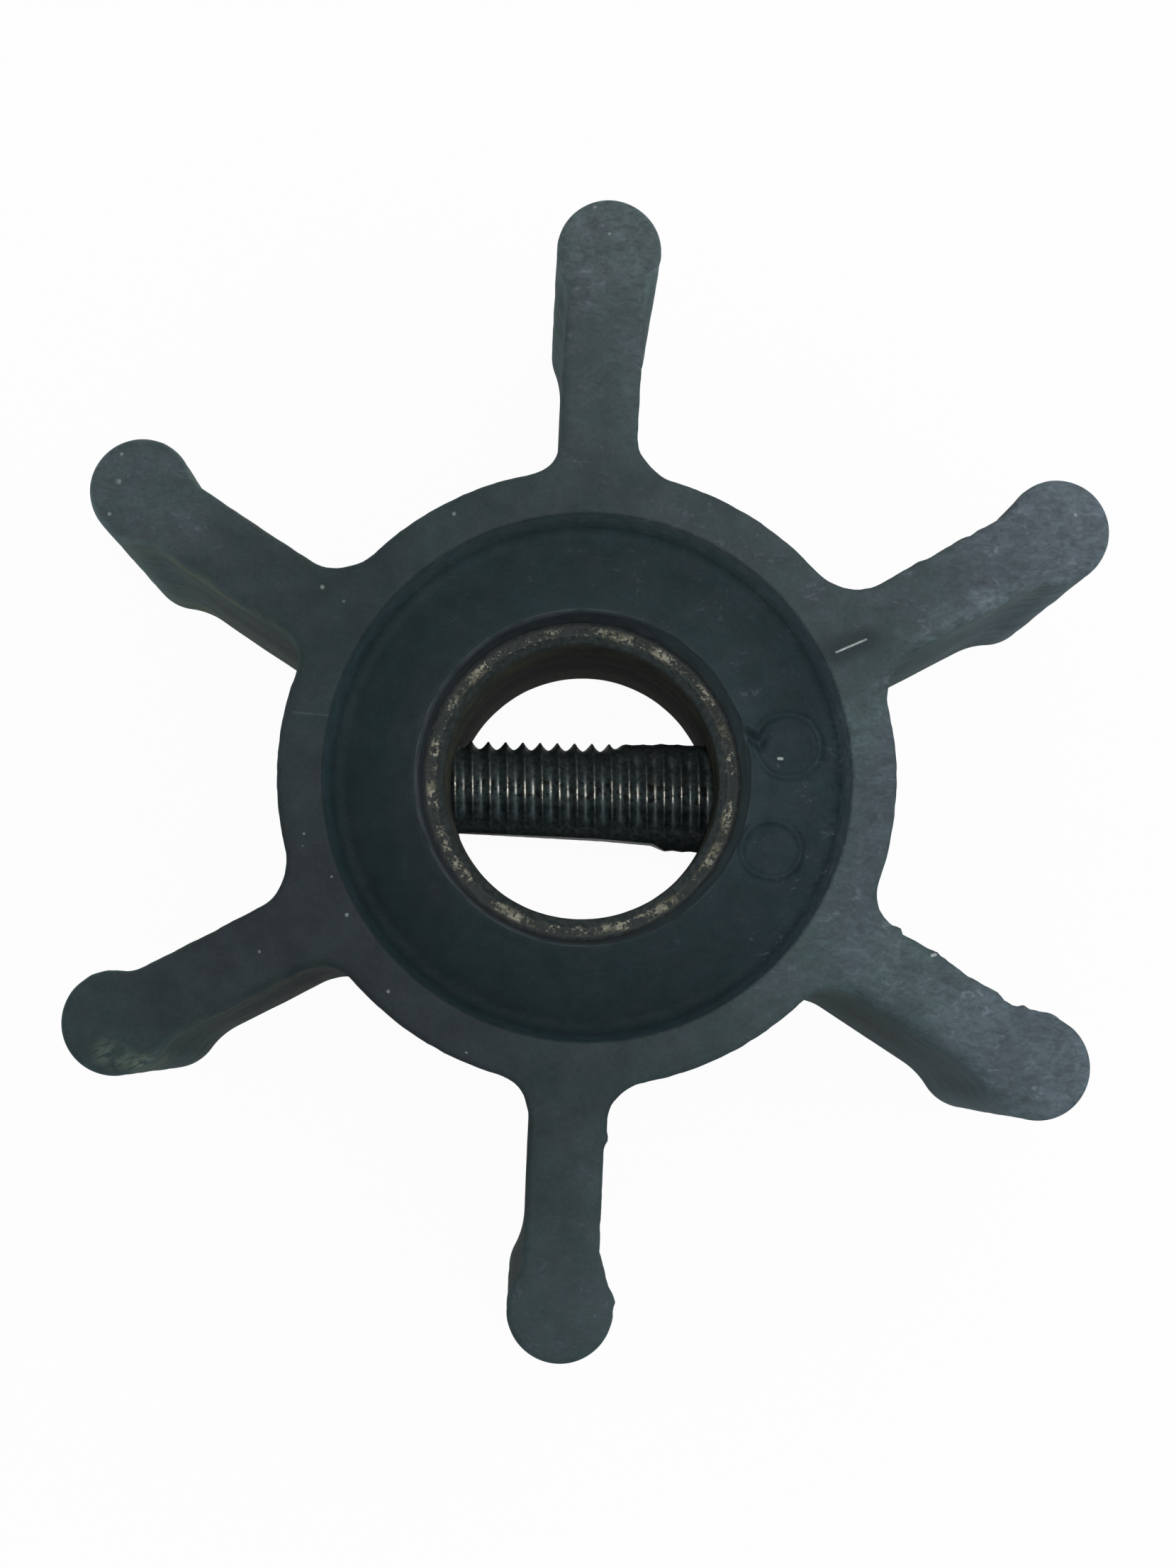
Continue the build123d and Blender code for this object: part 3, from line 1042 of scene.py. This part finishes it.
def add_marks(n, colour, shaded_trough, front_half, front):
    """A scratch with painted shade in its trough, scuffs, a hair, painted glints and dust."""
    # Painted shade in the scratch's trough
    colour = n.mix(n.times(shaded_trough, 0.5), colour, SCRATCH_SHADE)
    brush_x = n.times(n.add(n.x, n.times(n.y, 0.5)), 1 / 0.9)
    brush_y = n.times(n.add(n.y, n.times(n.x, -0.5)), 1 / 0.3)
    place = n.joined(brush_x, brush_y, n.z)
    brushed = n.noise(1, detail=4, rough=0.6, distortion=0.9, place=place, seed=10)
    for *place, strength in SCUFFS:
        worn = n.times(n.near_line(*place), n.range(brushed, 0.38, 0.62), front_half, strength)
        colour = n.mix(worn, colour, FACE_SCUFFS)
    scratch = n.times(n.near_line(*SCRATCH, 0.015, 0.05), n.range(n.fine, 0.3, 0.6, 0.4, 0.85))
    pale = [scratch, n.times(n.near_line(*HAIR, 0.02, 0.05), 0.04)]
    # Painted highlights: small glints
    pale += [n.times(n.near_line(*place, 0.03, 0.06), 0.7) for place in GLINTS]
    faint = n.range(n.fine, 0.3, 0.6, 0.1, 0.34)
    pale += [n.times(n.near_spot(place, size / 2, size), faint) for *place, size in DUST]
    pale.append(n.times(n.specks(1.9, 0.06, 0.2, seed=7), 0.35))
    return n.mix(n.times(n.most(*pale), front, 0.85), colour, DUST_AND_GLINT_COLOUR)


def rubber_material():
    n = RubberNodes()
    dust_and_light = dust_and_light_field(n)
    dusty_and_lit = n.range(dust_and_light, -0.3, 1)
    # Dust and painted light: the colour grows paler where the field is high, less so in the recess
    level = n.exp(n.times(dust_and_light, n.range(n.in_recess, 0, 1, 1, 0.6)))
    colour = n.shaded(n.mix(n.in_recess, face_colour(n), recess_colour(n)), level)
    colour = light_recess_wall(n, colour)
    colour = n.mix(n.on_side, colour, side_colour(n, colour))
    colour = colour_lip(n, add_grain(n, colour, dusty_and_lit))
    bright = n.times(n.where((n.grain, 0.60, 0.68), (n.patch, 0.48, 0.62, 0, 0.35)), dusty_and_lit)
    colour = n.mix(bright, colour, BRIGHT_GRAIN)

    front_half = n.range(n.z, MIDDLE, MIDDLE + 4)
    front = n.times(front_half, n.range(n.upright, 0.3, 0.7))
    # The scratch's trough: a dent in the bump, and painted shade in the colour
    shaded_trough = n.times(n.near_line(*SCRATCH, 0.15, 0.7), front)
    relief = n.times(n.grain, n.range(dusty_and_lit, 0, 1, 0.5, 1))
    relief = n.add(relief, n.times(n.fine, 0.2), n.times(shaded_trough, -0.6))
    fill(n.shader, {
        "Base Color": add_marks(n, colour, shaded_trough, front_half, front),
        "Roughness": n.add(n.range(n.grain, 0.3, 0.7, 0.62, 0.8), n.times(n.on_side, 0.2)),
        "Specular IOR Level": 0.15,
        "Normal": n.bump(relief, 0.4, 0.07),
    })
    return n.material


# Where the bush's front ring is rubbed bright most
POLISHED_PLACES = (
    (-4.9, 4.7), (-6.7, 1.4), (-6.3, 3.3), (5.5, 3.75), (6.4, 1.1), (6.4, -1.15), (-5.2, -4.3),
    (-3.1, -5.9), (1.5, -6.5), (3.8, -5.3), (-2.1, 6.3), (1.1, 6.5), (3, 5.8), (-6.8, -0.9),
    (6.1, 2.4), (5.8, -3),
)

# The bronze's colours. A pair is mixed by its grain or from cluster to cluster.
TARNISH = (srgb(37, 44, 45), srgb(51, 57, 58))
RING_CROWN = (srgb(34, 40, 40), srgb(46, 52, 51))
RING_EDGE_SHADE = srgb(24, 28, 29)  # painted shade at the ring's outer edge, where it meets the rubber
BORE_WALL = (srgb(42, 47, 44), srgb(62, 64, 52))
DEEP_BORE_SHADE = srgb(22, 25, 24)
POLISHED_FLECKS = (srgb(82, 83, 73), srgb(140, 138, 124))


def bronze_material():
    n = Nodes("tarnished_bronze")
    off_axis = n.length(n.joined(n.add(n.x, -BUSH_SHIFT_FRONT), n.y, 0))
    depth = n.depth_below(BUSH_FRONT)
    on_ring = n.range(depth, 0.3, 0.1)
    grain = n.noise(0.28, detail=5, rough=0.62, seed=1)
    cluster = n.noise(1.3, detail=3, rough=0.6, seed=2)
    grained = n.range(grain, 0.35, 0.65)

    # Painted light: the tarnish is paler towards the right
    colour = n.shaded(n.mix(grained, *TARNISH), n.range(n.x, -5, 6.5, 0.9, 1.4))
    crown = n.times(n.between(off_axis, 6.6, 6.8, 0.13), on_ring)
    colour = n.mix(crown, colour, n.mix(grained, *RING_CROWN))
    colour = n.mix(n.range(off_axis, 6.86, 6.98), colour, RING_EDGE_SHADE)
    wall = n.mix(n.range(cluster, 0.35, 0.65), *BORE_WALL)
    # Painted shade deeper in the bore
    wall = n.mix(n.range(depth, 2.5, 9), wall, DEEP_BORE_SHADE)
    in_bore = n.where((depth, 0.3, 0.8), (off_axis, 6.6, 6.4))
    # Painted light on the bore's wall, paler at the left and right
    colour = n.mix(in_bore, colour, n.shaded(wall, n.range(n.absolute(n.x), 1, 5, 1, 1.35)))

    clumps = n.noise(0.2, detail=4, rough=0.7, seed=4)
    gathered = n.range(n.noise(1.9, detail=2, seed=5), 0.36, 0.64, 0, 0.12)
    polished = n.most(*[n.near_spot(place, 0.3, 0.8) for place in POLISHED_PLACES])
    brightened = n.range(n.add(clumps, gathered, n.times(polished, 0.12)), 0.63, 0.72)
    flecks = n.times(brightened, n.between(off_axis, 6.5, 6.75, 0.17), on_ring)
    bright = n.mix(n.range(cluster, 0.4, 0.6), *POLISHED_FLECKS)
    fill(n.shader, {
        "Base Color": n.mix(flecks, colour, bright),
        "Metallic": n.add(0.1, n.times(flecks, 0.5)),
        "Roughness": n.add(n.range(grain, 0.3, 0.7, 0.5, 0.7), n.times(in_bore, 0.45)),
        "Specular IOR Level": 0.2,
        "Normal": n.bump(n.add(grain, n.times(flecks, 0.4)), 0.5, 0.05),
    })
    return n.material


# The screw's colours
STEEL = (srgb(60, 71, 73), srgb(83, 93, 94))
RUST = srgb(92, 66, 50)
PITS = srgb(34, 30, 28)
WORN_STEEL_AND_HIGHLIGHT = srgb(188, 184, 172)
LOWER_SIDE_SHADE = (0.4, 0.45, 0.48, 1)
WHOLE_TURNS = 20  # keeps the thread's phase above zero all along the screw


def steel_material():
    n = Nodes("dark_steel")
    up = n.minus(n.z, MIDDLE)
    turn = n.times(n.math("ARCTAN2", n.y, up), 1 / (2 * math.pi))
    phase = n.add(n.times(n.x, 1 / THREAD_PITCH), turn, WHOLE_TURNS + 0.5 - CREST_PHASE)
    off = n.absolute(n.minus(n.math("FRACT", phase), 0.5))  # 0 on a crest and 0.5 in a valley
    grain = n.noise(0.2, detail=4, seed=1)
    rust = n.range(n.noise(0.6, detail=3, seed=2), 0.56, 0.7, 0, 0.2)
    colour = n.mix(rust, n.mix(n.range(grain, 0.35, 0.65), *STEEL), RUST)
    # Painted shade along the screw's lower side
    colour = n.mix(n.between(n.y, -1.5, -0.85, 0.3), colour, n.tinted(colour, LOWER_SIDE_SHADE))

    # Wear brightens the thread's crests and valley floors, and a painted highlight runs along its
    # top and bottom, where it faces the ends of the bore
    upward = n.math("DIVIDE", n.absolute(up), n.length(n.joined(n.y, up, 0)))
    highlight_band = n.range(upward, 0.97, 0.998, 0.07, 1)
    pits = n.noise(0.3, detail=1, seed=5)
    colour = n.mix(n.where((pits, 0.52, 0.6), (highlight_band, 0.2, 0.7, 0, 0.8)), colour, PITS)
    valley = n.where((off, 0.38, 0.48), (n.x, -4.6, -2.2, 0.25, 0.46))
    patchy = n.range(n.noise((0.4, 0.25, 0.4), detail=2, seed=3), 0.4, 0.6, 0.15, 1)
    # Painted highlight and wear: bright crests and valley floors within the highlight band
    worn = n.times(n.most(n.range(off, 0.1, 0.04), valley), patchy, highlight_band)
    fill(n.shader, {
        "Base Color": n.mix(worn, colour, WORN_STEEL_AND_HIGHLIGHT),
        "Metallic": 0.75,
        "Roughness": n.add(n.range(grain, 0.3, 0.7, 0.3, 0.42), n.range(highlight_band, 0.1, 0.9, 0.2, 0)),
        "Normal": n.bump(grain, 0.25, 0.02),
    })
    return n.material


# ---- stage, light and camera

PHOTO_WIDTH, PHOTO_HEIGHT = 1659, 2212
CAMERA_SENSOR = 36
CAMERA_FOCAL_PIXELS = 5164.2
CAMERA_DISTANCE = 0.15916  # metres above the front face
CAMERA_TILT_X, CAMERA_TILT_Y, CAMERA_ROLL = (math.radians(a) for a in (-4.292, 1.122, -2.58))
CAMERA_CENTRE = (828.7, 1095)  # the pixel that the camera looks straight at

FLOOR_SIZE = 4  # metres
FLOOR_DROP = 0.0002
FLOOR_GREY = 0.75
FLOOR_WHITE = 0.96  # the share of white in what the camera and reflections see of it
BACKDROP_GREY = 0.8
WORLD_STRENGTH = 0.48

# Lamps: (name, place, target, diameter, power), in metres and watts
LAMPS = (
    ("key", (0.10, 0.05, 0.20), (0, 0, 0.02), 0.25, 0.20),
    ("front", (0.004, -0.008, 0.26), (0, 0, 0.011), 0.014, 0.15),
)


def link_object(name, data):
    holder = bpy.data.objects.new(name, data)
    bpy.context.scene.collection.objects.link(holder)
    return holder


def place_camera():
    camera = bpy.data.cameras.new("camera")
    camera.sensor_fit = "AUTO"
    camera.sensor_width = CAMERA_SENSOR
    camera.lens = camera.sensor_width * CAMERA_FOCAL_PIXELS / PHOTO_HEIGHT
    camera.shift_x = (PHOTO_WIDTH / 2 - CAMERA_CENTRE[0]) / PHOTO_HEIGHT
    camera.shift_y = (CAMERA_CENTRE[1] - PHOTO_HEIGHT / 2) / PHOTO_HEIGHT
    turn_x = Matrix.Rotation(CAMERA_TILT_X, 3, "X")
    turn_y = Matrix.Rotation(CAMERA_TILT_Y, 3, "Y")
    turn_z = Matrix.Rotation(CAMERA_ROLL, 3, "Z")
    view = (turn_x @ turn_y @ turn_z).transposed()
    holder = link_object("camera", camera)
    place = view @ Vector((0, 0, CAMERA_DISTANCE)) + Vector((0, 0, FRONT * MM))
    holder.matrix_world = Matrix.Translation(place) @ view.to_4x4()
    bpy.context.scene.camera = holder


def add_lamp(name, place, target, diameter, power):
    light = bpy.data.lights.new(name, "AREA")
    light.shape = "DISK"
    light.size = diameter
    light.energy = power
    holder = link_object(name, light)
    holder.location = place
    holder.rotation_euler = (Vector(target) - Vector(place)).to_track_quat("-Z", "Y").to_euler()


def build_floor():
    """A grey floor that camera, glossy and transmission rays see as white."""
    bpy.ops.mesh.primitive_plane_add(size=FLOOR_SIZE, location=(0, 0, -FLOOR_DROP))
    floor = bpy.context.object
    floor.name = "floor"
    material = bpy.data.materials.new("pale_floor")
    material.use_nodes = True
    tree = material.node_tree
    tree.nodes.clear()
    rays = add_node(tree, "LightPath").outputs
    seen = rays["Is Camera Ray"]
    for name in ("Is Glossy Ray", "Is Transmission Ray"):
        seen = add_node(tree, "Math", (seen, rays[name]), operation="MAXIMUM").outputs[0]
    seen = add_node(tree, "Math", (seen, FLOOR_WHITE), operation="MULTIPLY").outputs[0]
    grey = (FLOOR_GREY, FLOOR_GREY, FLOOR_GREY, 1)
    plain = add_node(tree, "BsdfDiffuse", {"Color": grey}).outputs[0]
    white = add_node(tree, "Emission").outputs[0]
    mixed = add_node(tree, "MixShader", (seen, plain, white)).outputs[0]
    add_node(tree, "OutputMaterial", {"Surface": mixed})
    floor.data.materials.append(material)


def build_world():
    """A soft even light, which the camera sees as a pale grey backdrop."""
    world = bpy.data.worlds.new("studio")
    world.use_nodes = True
    bpy.context.scene.world = world
    tree = world.node_tree
    tree.nodes.clear()
    seen = add_node(tree, "LightPath").outputs["Is Camera Ray"]
    soft = add_node(tree, "Background", ((1, 1, 1, 1), WORLD_STRENGTH)).outputs[0]
    grey = (BACKDROP_GREY, BACKDROP_GREY, BACKDROP_GREY, 1)
    backdrop = add_node(tree, "Background", (grey, 1)).outputs[0]
    mixed = add_node(tree, "MixShader", (seen, soft, backdrop)).outputs[0]
    add_node(tree, "OutputWorld", {"Surface": mixed})


# ---- putting it together

PIECES = (
    (build_rubber_body, "rubber_body", "rubber", rubber_material),
    (build_bush, "hub_bush", "bronze", bronze_material),
    (build_screw, "drive_screw", "steel", steel_material),
)

for build, node, slot, material in PIECES:
    piece = build()
    piece.data.materials.append(material())
    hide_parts(node)
    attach(piece, "root")

build_floor()
build_world()
for lamp in LAMPS:
    add_lamp(*lamp)
place_camera()
bpy.context.scene.view_settings.view_transform = "Standard"
